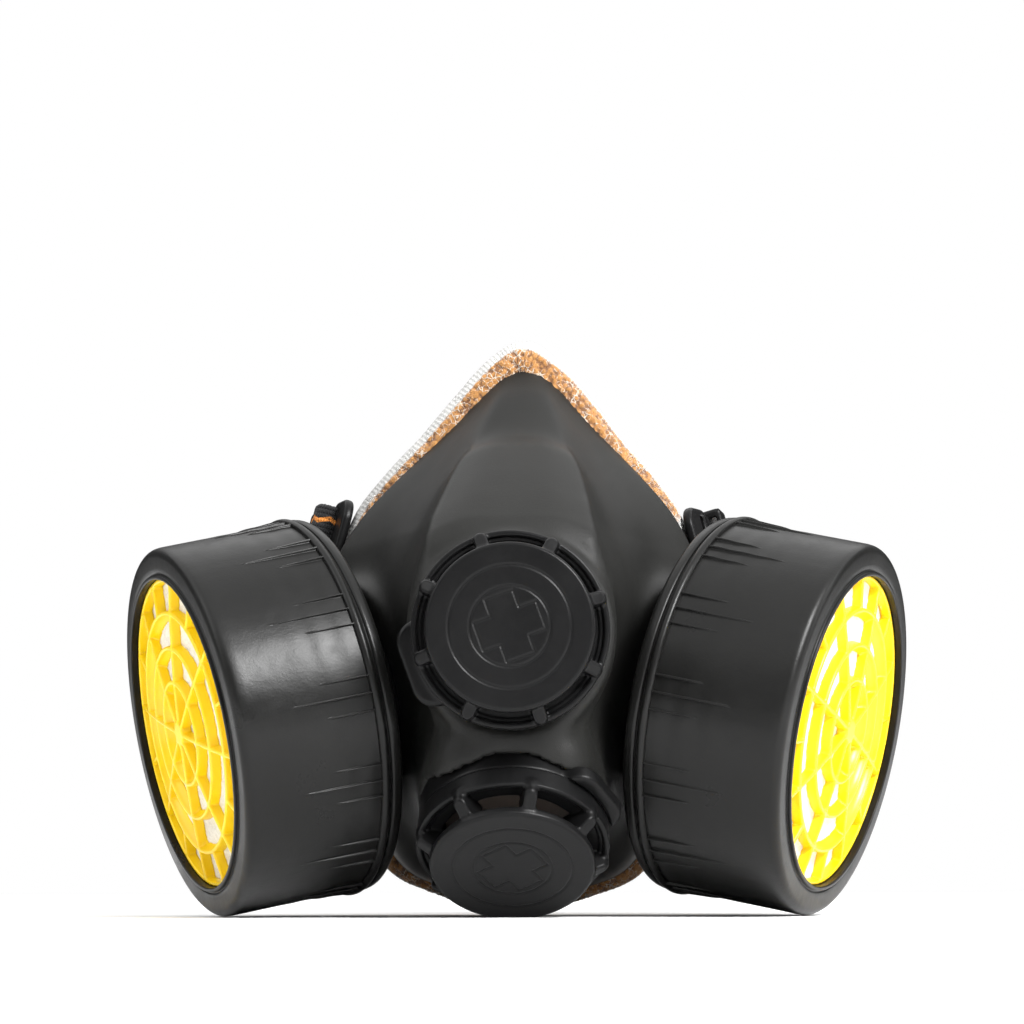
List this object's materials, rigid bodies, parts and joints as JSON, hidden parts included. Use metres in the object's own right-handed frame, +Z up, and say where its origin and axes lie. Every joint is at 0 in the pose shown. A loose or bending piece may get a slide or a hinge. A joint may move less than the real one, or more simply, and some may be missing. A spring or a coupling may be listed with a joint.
{
  "type": "half-mask respirator",
  "caption": "Reusable half-mask respirator with screw-on filter cartridges, exhalation valves with twist-off covers, a knit face seal and an elastic head strap.",
  "frame": {"origin": "on the table that the mask stands on, in the middle of its width and its depth with the strap", "axes": "+X to the right as seen from the front, +Y back towards the wearer, +Z up"},
  "size_m": [0.1732, 0.2111, 0.1278],
  "materials": {
    "rubber_black": "matte",
    "cap_plastic": "satin",
    "drum_plastic": "satin",
    "grille_plastic": "satin",
    "felt": "matte",
    "carbon": "matte",
    "seal_knit": "matte",
    "webbing": "matte",
    "gasket_rubber": "matte",
    "flap_rubber": "matte"
  },
  "bodies": {
    "root": {"facepiece": "rubber_black", "face_seal": "seal_knit", "head_strap": "webbing", "left_port": "cap_plastic", "left_port_nut": "cap_plastic", "left_strap_bracket": "cap_plastic", "right_port": "cap_plastic", "right_port_nut": "cap_plastic", "right_strap_bracket": "cap_plastic", "front_valve_seat": "cap_plastic", "chin_valve_seat": "cap_plastic"},
    "left_gasket": {"left_cartridge_gasket": "gasket_rubber"},
    "left_cartridge": {"left_cartridge_shell": "drum_plastic", "left_cartridge_base": "drum_plastic", "left_outer_grille": "grille_plastic", "left_prefilter_felt": "felt", "left_carbon_bed": "carbon", "left_inner_felt": "felt"},
    "left_inhale_valve": {"left_inhale_flap": "flap_rubber"},
    "left_slider": {"left_strap_slider": "cap_plastic"},
    "right_gasket": {"right_cartridge_gasket": "gasket_rubber"},
    "right_cartridge": {"right_cartridge_shell": "drum_plastic", "right_cartridge_base": "drum_plastic", "right_outer_grille": "grille_plastic", "right_prefilter_felt": "felt", "right_carbon_bed": "carbon", "right_inner_felt": "felt"},
    "right_inhale_valve": {"right_inhale_flap": "flap_rubber"},
    "right_slider": {"right_strap_slider": "cap_plastic"},
    "front_exhale_valve": {"front_exhale_flap": "flap_rubber"},
    "front_cap": {"front_valve_cap": "cap_plastic"},
    "chin_exhale_valve": {"chin_exhale_flap": "flap_rubber"},
    "chin_cap": {"chin_valve_cap": "cap_plastic"}
  },
  "joints": [
    {"name": "left_cartridge_travel", "type": "slide", "parent": "root", "child": "left_gasket", "axis": [-0.887, -0.4061, -0.2198], "range_m": [0, 0.0046]},
    {"name": "left_cartridge_turn", "type": "hinge", "parent": "left_gasket", "child": "left_cartridge", "pos_m": [-0.0693, -0.0627, 0.03766], "axis": [-0.887, -0.4061, -0.2198], "range_deg": [0, 540]},
    {"name": "left_inhale_lift", "type": "slide", "parent": "root", "child": "left_inhale_valve", "axis": [0.887, 0.4061, 0.2198], "range_m": [0, 0.0015], "stiffness_N_per_m": 30, "springref_m": -0.001},
    {"name": "left_slider_adjust", "type": "slide", "parent": "root", "child": "left_slider", "axis": [-0.1927, 0.9799, 0.0511], "range_m": [0, 0.008]},
    {"name": "right_cartridge_travel", "type": "slide", "parent": "root", "child": "right_gasket", "axis": [0.887, -0.4061, -0.2198], "range_m": [0, 0.0046]},
    {"name": "right_cartridge_turn", "type": "hinge", "parent": "right_gasket", "child": "right_cartridge", "pos_m": [0.0693, -0.0627, 0.03766], "axis": [0.887, -0.4061, -0.2198], "range_deg": [0, 540]},
    {"name": "right_inhale_lift", "type": "slide", "parent": "root", "child": "right_inhale_valve", "axis": [-0.887, 0.4061, 0.2198], "range_m": [0, 0.0015], "stiffness_N_per_m": 30, "springref_m": -0.001},
    {"name": "right_slider_adjust", "type": "slide", "parent": "root", "child": "right_slider", "axis": [0.1927, 0.9799, 0.0511], "range_m": [0, 0.008]},
    {"name": "front_cap_turn", "type": "hinge", "parent": "root", "child": "front_cap", "pos_m": [0, -0.1004, 0.0547], "axis": [0, -0.9999, -0.0122], "range_deg": [0, 30]},
    {"name": "front_exhale_lift", "type": "slide", "parent": "root", "child": "front_exhale_valve", "axis": [0, -0.9999, -0.0122], "range_m": [0, 0.0015], "stiffness_N_per_m": 30, "springref_m": -0.001},
    {"name": "chin_cap_turn", "type": "hinge", "parent": "root", "child": "chin_cap", "pos_m": [0, -0.0804, 0.0145], "axis": [0, -0.6266, -0.7793], "range_deg": [0, 30]},
    {"name": "chin_exhale_lift", "type": "slide", "parent": "root", "child": "chin_exhale_valve", "axis": [0, -0.6266, -0.7793], "range_m": [0, 0.0015], "stiffness_N_per_m": 30, "springref_m": -0.001}
  ],
  "couplings": [
    {"joint": "left_cartridge_travel", "follows": "left_cartridge_turn", "m_per_rad": 0.00047746},
    {"joint": "right_cartridge_travel", "follows": "right_cartridge_turn", "m_per_rad": 0.00047746}
  ]
}
